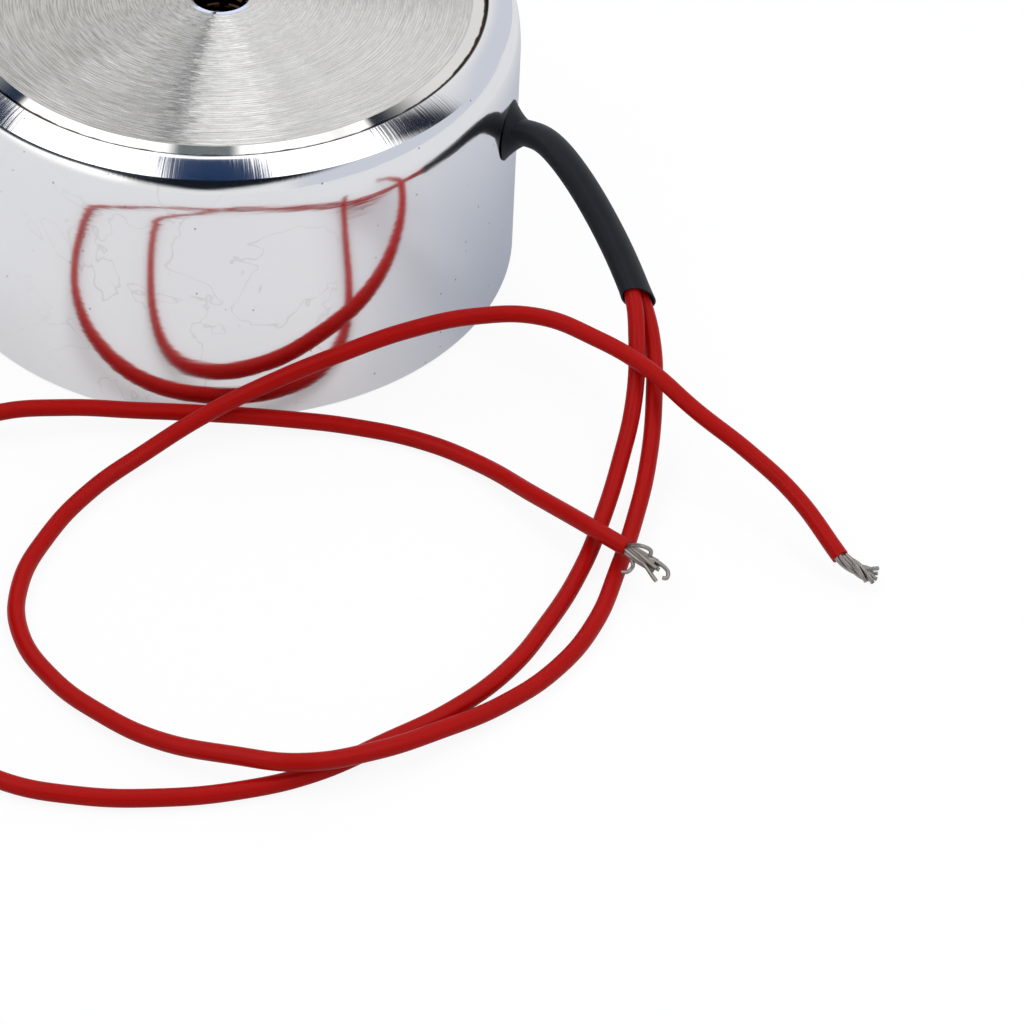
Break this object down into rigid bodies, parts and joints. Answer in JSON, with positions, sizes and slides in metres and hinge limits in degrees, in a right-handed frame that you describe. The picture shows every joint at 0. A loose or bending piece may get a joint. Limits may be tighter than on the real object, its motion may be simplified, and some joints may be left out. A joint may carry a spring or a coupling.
{
  "type": "holding electromagnet",
  "caption": "Round pot holding electromagnet in bright plated steel, with a turned back plate, a central tapped hole and insulated flying leads from the side wall.",
  "frame": {"origin": "centre of the working face, which is the bottom of the pot", "axes": "+Z along the pot's axis from the working face to the back plate; the leads leave towards +X"},
  "size_m": [0.0823, 0.0932, 0.025],
  "materials": {
    "plated_steel": "bright plated steel with fine scratches",
    "turned_steel": "turned steel with concentric tool marks",
    "bobbin_nylon": "moulded nylon",
    "copper_winding": "enamelled copper wire",
    "coil_tape": "polyester tape",
    "solder": "soft solder",
    "splice_sleeve": "varnished glass fibre sleeving",
    "tinned_copper": "tinned copper strands",
    "potting_resin": "cast epoxy resin",
    "black_bushing": "soft black plastic",
    "shrink_sleeve": "satin heat shrink tubing",
    "red_insulation": "glossy PVC insulation"
  },
  "bodies": {
    "root": {"shell": "plated_steel", "yoke_core": "turned_steel", "bobbin": "bobbin_nylon", "coil_winding": "copper_winding", "coil_tape": "coil_tape", "coil_start": "copper_winding", "coil_finish": "copper_winding", "solder_joint_a": "solder", "solder_joint_b": "solder", "splice_sleeve_a": "splice_sleeve", "splice_sleeve_b": "splice_sleeve", "lead_tail_a": "tinned_copper", "lead_tail_b": "tinned_copper", "potting_resin": "potting_resin", "lead_grommet": "black_bushing", "lead_sleeve": "shrink_sleeve", "lead_a": "red_insulation", "lead_b": "red_insulation", "strands_a": "tinned_copper", "strands_b": "tinned_copper"}
  },
  "joints": []
}
